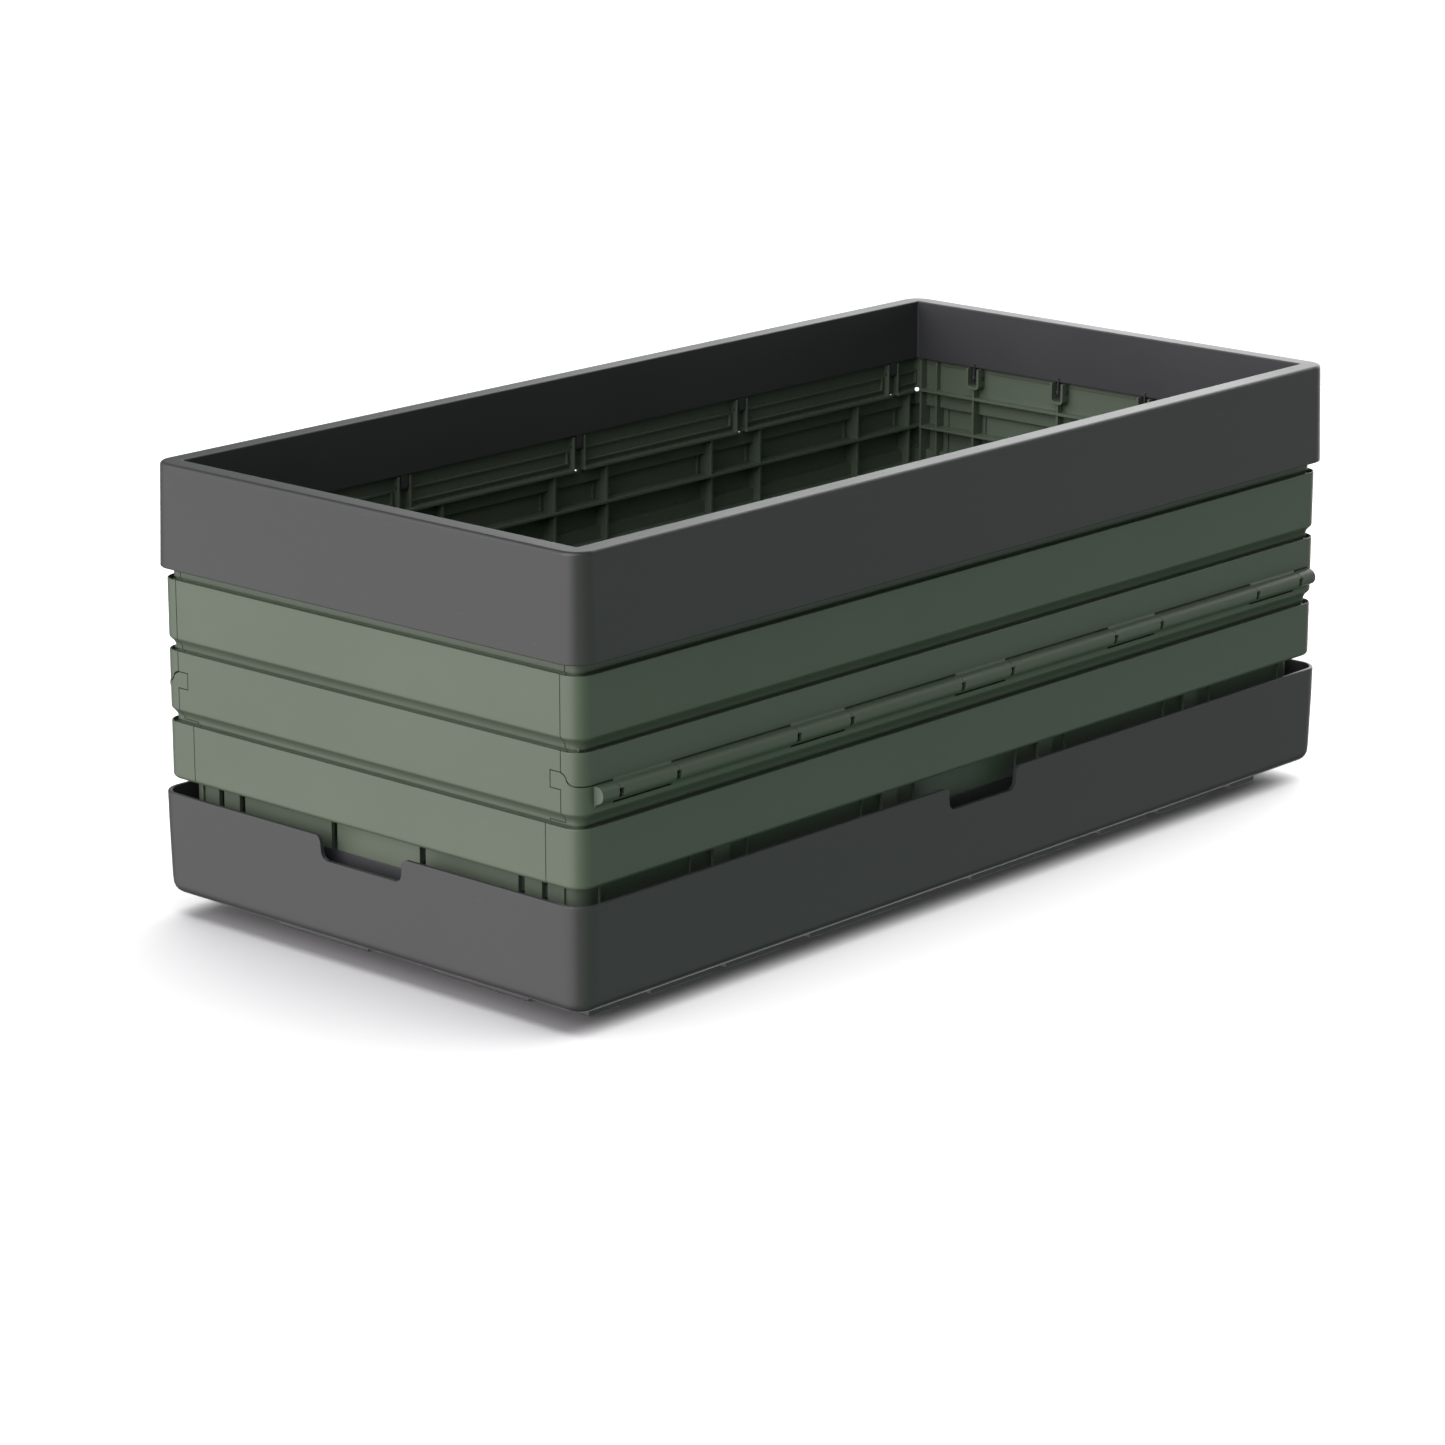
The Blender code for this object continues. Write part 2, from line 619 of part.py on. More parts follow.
def build_tray():
    tray = add("base_tray", stack(tray_outer_levels()), crate_coll)
    cut(tray, stack(tray_inner_levels()))
    cut(tray, prism(notch_outline(LONG_SIDE_NOTCH_HALF), "y", -230, 230))
    cut(tray, prism(notch_outline(SHORT_SIDE_NOTCH_HALF), "x", -430, 430))
    for x0, x1 in FEET_X:
        for sign_x in (-1, 1):
            for sign_y in (-1, 1):
                union(tray, box(sign_x * x0, sign_x * x1,
                                sign_y * FEET_Y[0], sign_y * FEET_Y[1],
                                0.0, TRAY_BOTTOM + FOOT_OVERLAP))
    tidy(tray, graphite("graphite_tray"))


# ---------------------------------------------------------------- inset base
BASE_IN = 12.0          # outer face of the inset base wall
BASE_R = 12.0
BASE_BOTTOM = 18.5
BASE_TOP = 95.8
BASE_KNUCKLE_HALF = 12.0
BASE_LUG_HALF_T = 2.5


def build_base():
    base = add("crate_base", stack([(-BASE_IN, BASE_BOTTOM), (-BASE_IN, BASE_TOP)], BASE_R),
               crate_coll)
    cavity = [(-BASE_IN - SKIN, BASE_BOTTOM + SKIN), (-BASE_IN - SKIN, BASE_TOP + 5)]
    cut(base, stack(cavity, BASE_R - SKIN))
    half = BASE_KNUCKLE_HALF
    for sign in (-1, 1):
        root_y = sign * (HALF_W - BASE_IN - 1.0)
        hinge_y = sign * (HALF_W - BASE_HINGE_IN)
        axis = (hinge_y, BASE_HINGE_Z)
        for x in SHORT_CENTRES:
            union(base, box(x - half, x + half, root_y, hinge_y,
                            BASE_HINGE_Z - BASE_LUG_HALF_T, BASE_HINGE_Z + BASE_LUG_HALF_T))
            union(base, centred_cylinder("x", x, half, axis, BASE_HINGE_R))
        cut(base, cylinder("x", -BORE_HALF, BORE_HALF, axis, BORE_R))
    tidy(base, sage("sage_base"))


# ------------------------------------------------------------- rods and pins
FOLD_ROD_HALF = 382.5
BASE_ROD_HALF = 350.0


def add_rod(name, axis, middle, half, centre, radius):
    rod = add(name, centred_cylinder(axis, middle, half, centre, radius), crate_coll)
    tidy(rod, steel("steel_" + name))
    return rod


def build_rods_and_pins():
    for side, sign in (("front", -1), ("back", 1)):
        add_rod(f"{side}_fold_rod", "x", 0.0, FOLD_ROD_HALF,
                (sign * (HALF_W + BARREL_OUT), BARREL_Z), ROD_R)
        add_rod(f"{side}_base_rod", "x", 0.0, BASE_ROD_HALF,
                (sign * (HALF_W - BASE_HINGE_IN), BASE_HINGE_Z), PIN_R)
        for i, x in enumerate(SIDE_PIVOTS_X, start=1):
            add_rod(f"{side}_frame_pin_{i}", "x", x, CHEEK_OUTER,
                    (sign * (HALF_W - PIVOT_IN), PIVOT_Z), PIN_R)
    for side, sign in (("left", -1), ("right", 1)):
        pivot_x = sign * (HALF_L - PIVOT_IN)
        for i, y in enumerate(END_PIVOTS_Y, start=1):
            pin = add_rod(f"{side}_end_pin_{i}", "y", y, CHEEK_OUTER,
                          (pivot_x, PIVOT_Z), PIN_R)
            set_origin(pin, (pivot_x, y, PIVOT_Z))


# --------------------------------------------------------------------- build
for old in list(bpy.data.objects):
    bpy.data.objects.remove(old, do_unlink=True)

crate_coll = bpy.data.collections.new("collapsible_storage_crate")
cutter_coll = bpy.data.collections.new("crate_cutters")
for collection in (crate_coll, cutter_coll):
    bpy.context.scene.collection.children.link(collection)

build_upper_sides()
build_lower_sides()
build_end_panels()
build_frame()
build_tray()
build_base()
build_rods_and_pins()

# Bring the world matrices up to date with the moved origins.
bpy.context.view_layer.update()
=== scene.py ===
"""Looks of the collapsible storage crate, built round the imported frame.

The crate stands on the floor at z = 0, centred on the z axis. Its long sides face -y (front)
and +y (back), its ends face -x (left) and +x (right). Each long side folds on a rod half-way
up. Solids are drawn in millimetres and scaled to metres by add(). Profiles are (out, z): out
is measured outwards from the nominal wall face, and "in" or depth is measured inwards.
"""
import math

import bmesh
import bpy
from mathutils import Matrix, Vector


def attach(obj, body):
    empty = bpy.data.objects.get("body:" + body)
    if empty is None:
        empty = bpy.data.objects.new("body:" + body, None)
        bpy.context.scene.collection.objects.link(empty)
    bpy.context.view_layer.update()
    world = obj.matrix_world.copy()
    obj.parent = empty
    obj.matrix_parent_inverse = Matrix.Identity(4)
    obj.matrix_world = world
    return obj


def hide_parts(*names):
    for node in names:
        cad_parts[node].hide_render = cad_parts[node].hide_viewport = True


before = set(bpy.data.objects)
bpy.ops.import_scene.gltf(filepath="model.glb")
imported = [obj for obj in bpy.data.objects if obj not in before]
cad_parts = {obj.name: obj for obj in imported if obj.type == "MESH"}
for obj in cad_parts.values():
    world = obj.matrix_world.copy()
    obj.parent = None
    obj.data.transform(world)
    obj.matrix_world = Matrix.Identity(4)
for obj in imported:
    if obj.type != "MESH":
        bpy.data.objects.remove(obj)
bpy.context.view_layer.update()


MM = 0.001

# Walls
HALF_L, HALF_W, CORNER_R = 395.0, 195.0, 12.5
FACE_X, FACE_Y = -HALF_L, -HALF_W                       # left and front wall faces
BANDS = ((96.9, 137.6), (145.0, 187.5), (194.5, 237.0))  # bottom z, top z of each raised band
BAND_LOW_R, BAND_TOP_R = 3.6, 0.5
PANEL_TOP = 271.0
GROOVE, SKIN = 4.5, 3.0                                 # groove depth, wall thickness
RIB_D, RIB_T = 15.0, 2.0                                # rib depth from the face, thickness
RIB_END = HALF_L - 6.5                                  # half length of the long level ribs
GROOVE_BACK, BAND_BACK = GROOVE + 1.5, 1.5              # depth at which ribs start

# Seams between the sides and the ends, and the split between the side halves
SEAM_Y, SEAM_LOW_Y, SEAM_STEP_Z = 179.3, 165.6, 139.4
SPLIT_Z, GAP = 165.2, 1.0
HALF_GAP = GAP / 2
TAB_Y, TAB_LOW_Z, TAB_TOP_Z = 170.2, 162.5, 173.3
CLEAR_Y, CLEAR_LOW, CLEAR_TOP, CLEAR_X = 215.0, 80.0, 280.0, 410.0  # clear of the walls

# Fold hinge
BARREL_O, BARREL_Z, BARREL_R = 2.5, 159.0, 5.7
FOLD_AXIS = (FACE_Y - BARREL_O, BARREL_Z)
FOLD_BORE_R = 2.2
BLEND_R, BLEND_UP_R = 5.0, 2.2                          # fillets below and above the barrel
PITCH, SHORT_HALF, LONG_HALF, FLANGE_HALF = 168.8, 26.6, 57.0, 27.0
SHORT_X = [k * PITCH for k in (-2, -1, 0, 1, 2)]        # knuckles on the upper half
LONG_X = [k * PITCH / 2 for k in (-3, -1, 1, 3)]        # knuckles on the lower half
END_KNUCKLE = (365.0, 381.7)
LIP_LOW, LIP_HIGH = 150.3, 152.0
ROOT = -1.2                                             # out of the buried knuckle roots

# Base hinge and collar pivots
BASE_HINGE_IN, BASE_HINGE_Z, BASE_BARREL_R = 7.4, 59.5, 3.6
PIVOT_IN, PIVOT_Z = 9.6, 263.2
END_Y = (-124.5, -41.5, 41.5, 124.5)                    # pivots and upright ribs of an end
SIDE_X = (-354.0, -177.0, 0.0, 177.0, 354.0)            # pivots of a long side
RIB_X = sorted(s * v for s in (-1, 1) for v in (27.4, 141.4, 196.2, 310.2, 372.0))
POCKET_BOTTOM = 254.7

TRAY_Z = 15.2                                           # underside of the tray

look = bpy.data.collections.new("crate_look")
bpy.context.scene.collection.children.link(look)


# ---------------------------------------------------------------- geometry
def link_object(name, data):
    obj = bpy.data.objects.new(name, data)
    look.objects.link(obj)
    return obj


def add(name, bm):
    bmesh.ops.recalc_face_normals(bm, faces=bm.faces[:])
    bmesh.ops.scale(bm, vec=Vector((MM, MM, MM)), verts=bm.verts[:])
    mesh = bpy.data.meshes.new(name)
    bm.to_mesh(mesh)
    bm.free()
    return link_object(name, mesh)


def box(x0, x1, y0, y1, z0, z1):
    """Box between pairs of limits; each pair may come in either order."""
    size = Vector((abs(x1 - x0), abs(y1 - y0), abs(z1 - z0)))
    centre = Vector(((x0 + x1) / 2, (y0 + y1) / 2, (z0 + z1) / 2))
    bm = bmesh.new()
    bmesh.ops.create_cube(bm, size=1.0)
    bmesh.ops.scale(bm, vec=size, verts=bm.verts[:])
    bmesh.ops.translate(bm, vec=centre, verts=bm.verts[:])
    return bm


def prism(outline, axis, low, high):
    """Extrude an outline along x (y, z points) or y (x, z points)."""
    bm = bmesh.new()
    if axis == "x":
        verts = [bm.verts.new((low, y, z)) for y, z in outline]
        step = Vector((high - low, 0, 0))
    else:
        verts = [bm.verts.new((x, low, z)) for x, z in outline]
        step = Vector((0, high - low, 0))
    made = bmesh.ops.extrude_face_region(bm, geom=[bm.faces.new(verts)])
    moved = [g for g in made["geom"] if isinstance(g, bmesh.types.BMVert)]
    bmesh.ops.translate(bm, vec=step, verts=moved)
    bmesh.ops.recalc_face_normals(bm, faces=bm.faces[:])
    return bm


def bridge(bm, first, second):
    count = len(first)
    for i in range(count):
        j = (i + 1) % count
        bm.faces.new((first[i], first[j], second[j], second[i]))


def capped(bm, loops):
    """Close a pile of vertex loops into a solid."""
    for first, second in zip(loops, loops[1:]):
        bridge(bm, first, second)
    bm.faces.new(loops[0][::-1])
    bm.faces.new(loops[-1])
    return bm


def lathe(axis, centre, profile, segments):
    """Spin an (along, radius) profile round an axis parallel to x or y."""
    bm = bmesh.new()
    rings = []
    for along, radius in profile:
        ring = []
        for i in range(segments):
            turn = 2 * math.pi * i / segments
            side = centre[0] + radius * math.cos(turn)
            z = centre[1] + radius * math.sin(turn)
            ring.append(bm.verts.new((along, side, z) if axis == "x" else (side, along, z)))
        rings.append(ring)
    return capped(bm, rings)


def peg(axis, centre, low, high, radius, segments, chamfer=0.4):
    """Round bar with chamfered ends."""
    profile = [(low, radius - chamfer), (low + chamfer, radius),
               (high - chamfer, radius), (high, radius - chamfer)]
    return lathe(axis, centre, profile, segments)


def arc(cx, cy, radius, start, stop, steps):
    """Points of an arc; angles in degrees."""
    angles = [math.radians(start + (stop - start) * i / steps) for i in range(steps + 1)]
    return [(cx + radius * math.cos(a), cy + radius * math.sin(a)) for a in angles]


def plan_loops(bm, profile, radius, segments=12):
    """One rounded rectangle of vertices per (out, z) point of the profile."""
    loops = []
    for out, z in profile:
        hx, hy = HALF_L + out, HALF_W + out
        r = max(CORNER_R + out, 1.5) if radius is None else radius
        corners = ((hx - r, hy - r, 0), (-hx + r, hy - r, 90),
                   (-hx + r, -hy + r, 180), (hx - r, -hy + r, 270))
        points = []
        for cx, cy, start in corners:
            points += arc(cx, cy, r, start, start + 90, segments)
        loops.append([bm.verts.new((x, y, z)) for x, y in points])
    return loops


def swept_ring(profile, radius=None):
    """Sweep a closed profile round the crate."""
    bm = bmesh.new()
    loops = plan_loops(bm, profile, radius)
    for first, second in zip(loops, loops[1:] + loops[:1]):
        bridge(bm, first, second)
    return bm


def stack(levels, radius=None):
    """Solid filled between levels of the crate's plan."""
    bm = bmesh.new()
    return capped(bm, plan_loops(bm, levels, radius))


def merged(solids):
    """One bmesh that holds several separate closed solids."""
    total = bmesh.new()
    for bm in solids:
        bmesh.ops.recalc_face_normals(bm, faces=bm.faces[:])
        tmp = bpy.data.meshes.new("tmp")
        bm.to_mesh(tmp)
        bm.free()
        total.from_mesh(tmp)
        bpy.data.meshes.remove(tmp)
    return total


def boolean(target, bm, operation):
    tool = add("tool", bm)
    mod = target.modifiers.new("cut", "BOOLEAN")
    mod.operation = operation
    mod.solver = "EXACT"
    mod.use_self = operation != "INTERSECT"
    mod.object = tool
    bpy.context.view_layer.update()
    graph = bpy.context.evaluated_depsgraph_get()
    made = bpy.data.meshes.new_from_object(target.evaluated_get(graph))
    target.modifiers.clear()
    old = target.data
    target.data = made
    bpy.data.meshes.remove(old)
    bpy.data.objects.remove(tool, do_unlink=True)


def dress(obj, mat):
    """Clean the mesh, give it its material and shade it smooth between sharp edges."""
    bm = bmesh.new()
    bm.from_mesh(obj.data)
    bmesh.ops.remove_doubles(bm, verts=bm.verts[:], dist=0.000004)
    bmesh.ops.dissolve_degenerate(bm, edges=bm.edges[:], dist=0.000003)
    bm.to_mesh(obj.data)
    bm.free()
    obj.data.materials.clear()
    obj.data.materials.append(mat)
    for polygon in obj.data.polygons:
        polygon.use_smooth = True
    obj.data.set_sharp_from_angle(angle=math.radians(32.0))
    mod = obj.modifiers.new("normals", "WEIGHTED_NORMAL")
    mod.keep_sharp = True
    mod.weight = 80
    return obj


def turned(obj, name):
    """Copy turned half a turn about z."""
    mesh = obj.data.copy()
    mesh.transform(Matrix.Rotation(math.pi, 4, "Z"))
    return link_object(name, mesh)


def span(sign, near, far):
    """Limits mirrored by sign, low one first."""
    return sorted((sign * near, sign * far))


# --------------------------------------------------------------- materials
class Nodes:
    """Empty node tree of a material or world."""

    def __init__(self, owner):
        owner.use_nodes = True
        self.tree = owner.node_tree
        self.tree.nodes.clear()

    def new(self, kind, inputs=None, feeds=None, **props):
        """Add a node: inputs holds plain values, feeds holds {input: (node, output)}."""
        node = self.tree.nodes.new(kind)
        for key, value in props.items():
            setattr(node, key, value)
        for key, value in (inputs or {}).items():
            node.inputs[key].default_value = value
        for key, (source, output) in (feeds or {}).items():
            self.tree.links.new(source.outputs[output], node.inputs[key])
        return node

    def remap(self, source, output, limits, **props):
        return self.new("ShaderNodeMapRange", limits, {"Value": (source, output)}, **props)


def plastic(name, colour, roughness, specular):
    """Moulded plastic: fine grain, soft cloudiness, faint scuffs, rounded edges."""
    tint, rough_swing = 0.06, 0.04           # how far the clouds sway colour and roughness
    scuff_lift = (0.016, 0.016, 0.016, 1.0)  # colour added on scuffs
    scuff_gloss = -0.06                      # roughness added on scuffs
    mat = bpy.data.materials.new(name)
    n = Nodes(mat)
    coord = n.new("ShaderNodeTexCoord")
    position = {"Vector": (coord, "Object")}
    cloud = n.new("ShaderNodeTexNoise", {"Scale": 5.0, "Detail": 5.0, "Roughness": 0.6}, position)
    fine = n.new("ShaderNodeTexNoise", {"Scale": 900.0, "Detail": 2.0, "Roughness": 0.5}, position)
    stretch = n.new("ShaderNodeMapping", {"Scale": (9.0, 9.0, 60.0), "Rotation": (0.2, 0.35, 0.5)},
                    position)
    scuff = n.new("ShaderNodeTexNoise", {"Scale": 6.0, "Detail": 6.0, "Roughness": 0.7},
                  {"Vector": (stretch, "Vector")})
    scuff_mask = n.remap(scuff, "Fac", {"From Min": 0.62, "From Max": 0.80,
                                        "To Min": 0.0, "To Max": 1.0})
    shade = n.remap(cloud, "Fac", {"From Min": 0.3, "From Max": 0.7,
                                   "To Min": 1.0 - tint, "To Max": 1.0 + tint})
    base = n.new("ShaderNodeVectorMath", {0: colour}, {"Scale": (shade, "Result")},
                 operation="SCALE")
    lift = n.new("ShaderNodeMixRGB", {"Fac": 0.0, "Color2": scuff_lift},
                 {"Color1": (base, "Vector"), "Fac": (scuff_mask, "Result")}, blend_type="ADD")
    rough = n.remap(cloud, "Fac", {"From Min": 0.3, "From Max": 0.7,
                                   "To Min": roughness - rough_swing,
                                   "To Max": roughness + rough_swing})
    scuffed_rough = n.new("ShaderNodeMath", {1: scuff_gloss},
                          {0: (scuff_mask, "Result"), 2: (rough, "Result")},
                          operation="MULTIPLY_ADD")
    edge = n.new("ShaderNodeBevel", {"Radius": 0.0006}, samples=4)
    bump = n.new("ShaderNodeBump", {"Strength": 0.25, "Distance": 0.00012},
                 {"Height": (fine, "Fac"), "Normal": (edge, "Normal")})
    bsdf = n.new("ShaderNodeBsdfPrincipled", {"Specular IOR Level": specular},
                 {"Base Color": (lift, "Color"), "Roughness": (scuffed_rough, "Value"),
                  "Normal": (bump, "Normal")})
    n.new("ShaderNodeOutputMaterial", feeds={"Surface": (bsdf, "BSDF")})
    return mat


def steel(name):
    """Drawn steel wire: streaks along x and a brushed sheen."""
    mat = bpy.data.materials.new(name)
    n = Nodes(mat)
    coord = n.new("ShaderNodeTexCoord")
    stretch = n.new("ShaderNodeMapping", {"Scale": (40.0, 900.0, 900.0)},
                    {"Vector": (coord, "Object")})
    streak = n.new("ShaderNodeTexNoise", {"Scale": 1.0, "Detail": 4.0},
                   {"Vector": (stretch, "Vector")})
    rough = n.remap(streak, "Fac", {"To Min": 0.28, "To Max": 0.5})
    bump = n.new("ShaderNodeBump", {"Strength": 0.3, "Distance": 0.00005},
                 {"Height": (streak, "Fac")})
    bsdf = n.new("ShaderNodeBsdfPrincipled",
                 {"Metallic": 0.9, "Base Color": (0.11, 0.115, 0.12, 1.0)},
                 {"Roughness": (rough, "Result"), "Normal": (bump, "Normal")})
    n.new("ShaderNodeOutputMaterial", feeds={"Surface": (bsdf, "BSDF")})
    return mat


GRAPHITE = (0.040, 0.0408, 0.0415)
SAGE = (0.0868, 0.1134, 0.0770)
mat_frame = plastic("graphite_frame_look", GRAPHITE, roughness=0.40, specular=0.5)
mat_tray = plastic("graphite_tray_look", GRAPHITE, roughness=0.40, specular=0.5)
mat_sage = plastic("sage_body_look", SAGE, roughness=0.42, specular=0.5)
mat_base = plastic("sage_base_look", SAGE, roughness=0.48, specular=0.45)
mat_steel = steel("drawn_steel_look")


# ------------------------------------------------------ wall and rib outlines
def body_profile():
    """Closed (out, z) section of the banded wall: up the outside, down the inside."""
    groove, skin = -GROOVE, -SKIN
    outer = []
    for bottom, top in BANDS:
        if bottom > BANDS[0][0]:
            outer += [(groove, bottom - 4.6), (-4.15, bottom - 3.2),
                      (-3.3, bottom - 1.6), (-2.1, bottom - 0.35)]
            outer += arc(-3.0, bottom + 3.0, 3.0, -48, 0, 6)
        else:
            outer += arc(-BAND_LOW_R, bottom + BAND_LOW_R, BAND_LOW_R, -90, 0, 7)
        outer += arc(-BAND_TOP_R, top - BAND_TOP_R, BAND_TOP_R, 0, 90, 4)
        # narrow undercut behind the top edge of the band
        outer += [(-0.75, top), (-0.85, top - 2.6), (groove - 1.4, top - 2.6),
                  (groove - 1.4, top + 0.7), (groove, top + 0.7)]
    outer += [(groove, PANEL_TOP)]
    groove_in = groove + skin
    (bottom3, top3), (bottom2, top2), (bottom1, top1) = BANDS
    inner = [(groove_in, PANEL_TOP),
             (groove_in, top1 - 3), (skin, top1 - 4),
             (skin, bottom1 + 4.5), (groove_in, bottom1 + 3.5),
             (groove_in, top2 - 3), (skin, top2 - 4),
             (skin, bottom2 + 4.5), (groove_in, bottom2 + 3.5),
             (groove_in, top3 - 3), (skin, top3 - 4),
             (skin, bottom3 + 5), (-BAND_LOW_R, bottom3 + 1.2)]
    return outer + inner


def upright(axis, face, low, high, z0, z1, root):
    """Upright rib across low..high, from depth root out to the back of the banded skin."""
    points = [(root, z0), (root, z1)]
    level = z1
    for bottom, top in reversed(BANDS):
        band_low, band_high = max(bottom + 2.6, z0), min(top - 1.6, z1)
        if band_high <= band_low:
            continue
        if level > band_high:
            points += [(GROOVE_BACK, level), (GROOVE_BACK, band_high)]
        points += [(BAND_BACK, band_high), (BAND_BACK, band_low)]
        level = band_low
    if level > z0:
        points += [(GROOVE_BACK, level), (GROOVE_BACK, z0)]
    return prism([(face + depth, z) for depth, z in points], axis, low, high)


def row_depth(z):
    """Depth at which a level rib at height z starts."""
    for bottom, top in BANDS:
        if bottom < z < top:
            near_bottom = z < bottom + 5.5
            if z > top - 4 or (near_bottom and bottom > BANDS[0][0]):
                return GROOVE_BACK
            return 3.2 if near_bottom else BAND_BACK
    return GROOVE_BACK


def side_row(z):
    """Level rib of the front side."""
    return box(-RIB_END, RIB_END, FACE_Y + row_depth(z), FACE_Y + RIB_D,
               z - RIB_T / 2, z + RIB_T / 2)


# ------------------------------------------------------------- seam outlines
# (y, z) line from the tab top down to the split, drawn for +y
S_CURVE = [(TAB_Y, TAB_TOP_Z), (178.6, TAB_TOP_Z)] + arc(178.9, 168.0, 5.1, 80, 24, 6)
S_CURVE += arc(189.6, 172.2, 6.6, 204, 262, 6) + [(192.2, 165.3), (CLEAR_Y, SPLIT_Z)]


def lower_side_outline():
    """(y, z) region kept for the lower half of the front side."""
    low = [(CLEAR_Y, CLEAR_LOW), (SEAM_LOW_Y, CLEAR_LOW), (SEAM_LOW_Y, SEAM_STEP_Z),
           (SEAM_Y, SEAM_STEP_Z), (SEAM_Y, TAB_LOW_Z), (TAB_Y, TAB_LOW_Z), (TAB_Y, TAB_TOP_Z)]
    top = [S_CURVE[1]] + [(y - 0.12, z - HALF_GAP) for y, z in S_CURVE[2:]]
    return [(-y, z) for y, z in low + top]


def upper_side_outline():
    """(y, z) region kept for the upper half of the front side."""
    curve = [(y + HALF_GAP, z + HALF_GAP - 0.1) for y, z in S_CURVE[2:-1]]
    curve.append((CLEAR_Y, SPLIT_Z + HALF_GAP))
    points = [(SEAM_Y, CLEAR_TOP), (SEAM_Y, TAB_TOP_Z + GAP)]
    points += [p for p in curve if p[0] > SEAM_Y + 0.2] + [(CLEAR_Y, CLEAR_TOP)]
    return [(-y, z) for y, z in points]


def end_outline():
    """(y, z) region kept for an end, just clear of the sides and their tabs."""
    seam, low_seam, tab = SEAM_Y - 0.55, SEAM_LOW_Y - 0.55, TAB_Y - 0.6
    step_z, tab_low, tab_top = SEAM_STEP_Z + 0.5, TAB_LOW_Z - 0.6, TAB_TOP_Z + 0.6
    half = [(low_seam, CLEAR_LOW), (low_seam, step_z), (seam, step_z), (seam, tab_low),
            (tab, tab_low), (tab, tab_top), (seam, tab_top), (seam, CLEAR_TOP)]
    return half + [(-y, z) for y, z in reversed(half)]


# ------------------------------------------------------------- fold knuckles
def knuckle_outline(lower):
    """(out, z) outline of a fold knuckle that blends into its own half."""
    sign = -1 if lower else 1
    r = BLEND_R if lower else BLEND_UP_R
    rise = math.sqrt((r + BARREL_R) ** 2 - (r - BARREL_O) ** 2)
    blend_z = BARREL_Z + sign * rise
    barrel_from = math.degrees(math.atan2(sign * rise, r - BARREL_O))
    blend_to = math.degrees(math.atan2(-sign * rise, BARREL_O - r))
    fillet = arc(r, blend_z, r, 180.0, blend_to if lower else 360 + blend_to, 7)
    barrel = arc(BARREL_O, BARREL_Z, BARREL_R, barrel_from, -sign * 90.0, 22)
    if lower:
        tail = [(ROOT, BARREL_Z + BARREL_R)]
    else:
        barrel = [p for p in barrel if p[1] > 154.2]
        tail = [(1.6, LIP_HIGH), (ROOT, LIP_HIGH)]
    return [(ROOT, blend_z)] + fillet + barrel[1:] + tail


def front_prism(outline, x0, x1):
    """Extrude an (out, z) outline of the front side along x."""
    return prism([(FACE_Y - out, z) for out, z in outline], "x", x0, x1)


def fold_holes(half_length, slot_reach):
    """Rod bore, and a slot at each end of the short knuckles."""
    holes = [peg("x", FOLD_AXIS, -half_length, half_length, FOLD_BORE_R, 20)]
    for xc in SHORT_X:
        for sign in (-1, 1):
            holes.append(box(xc + sign * 24.2, xc + sign * slot_reach,
                             FACE_Y - 12, FACE_Y + ROOT * -1 - 2.4, 155.6, 161.4))
    return holes


# --------------------------------------------------------------- long sides
def front_upper():
    side = add("front_upper_look", swept_ring(body_profile()))
    boolean(side, prism(upper_side_outline(), "x", -CLEAR_X, CLEAR_X), "INTERSECT")
    parts = [side_row(z) for z in (246.2, 217.7, 188.4)]
    split_z = SPLIT_Z + HALF_GAP + 0.1
    parts.append(box(-RIB_END, RIB_END, FACE_Y + BAND_BACK, FACE_Y + RIB_D,
                     split_z, split_z + RIB_T))
    for x in RIB_X:
        parts.append(upright("x", FACE_Y, x - RIB_T / 2, x + RIB_T / 2,
                             SPLIT_Z + 1.0, 246.8, RIB_D - 1.2))

    # low rectangular frames behind the top groove, between the pivots
    edges = [-386.0] + [v for xc in SIDE_X for v in (xc - 9.0, xc + 9.0)] + [386.0]
    y0, y1 = FACE_Y + 6.5, FACE_Y + 9.4
    for a, b in zip(edges[0::2], edges[1::2]):
        parts += [box(a, b, y0, y1, 260.0, 261.4),
                  box(a, b, y0, y1, 250.4, 251.6),
                  box(a, a + 1.4, y0, y1 - 0.03, 250.5, 261.3),
                  box(b - 1.4, b, y0, y1 - 0.03, 250.5, 261.3)]

    # thin uprights behind the top band, beside each rib
    y0, y1 = FACE_Y + 2.2, FACE_Y + 4.5
    for a, b in zip([-371.0] + RIB_X[1:-1], RIB_X[1:]):
        parts += [box(a + 5, a + 6.2, y0, y1, 219.0, 234.5),
                  box(b - 6.2, b - 5, y0, y1, 219.0, 234.5)]

    for xc in SIDE_X:                               # cheeks of the collar pivots
        for sign in (-1, 1):
            parts.append(box(xc + sign * 5.0, xc + sign * 6.2, FACE_Y + GROOVE + 1.0,
                             FACE_Y + 12.6, 246.4, PANEL_TOP - 0.05))
    flange = FLANGE_HALF - HALF_GAP
    for xc in SHORT_X:
        parts.append(box(xc - flange, xc + flange, FACE_Y + 0.02, FACE_Y + SKIN,
                         LIP_HIGH, SPLIT_Z + 1.6))
        parts.append(front_prism(knuckle_outline(False), xc - SHORT_HALF, xc + SHORT_HALF))
    boolean(side, merged(parts), "UNION")

    holes = fold_holes(half_length=392, slot_reach=30.0)
    for xc in SIDE_X:
        holes.append(box(xc - 3.4, xc + 3.4, FACE_Y + 8, FACE_Y + 20, 243.6, 249.0))
    boolean(side, merged(holes), "DIFFERENCE")
    return dress(side, mat_sage)


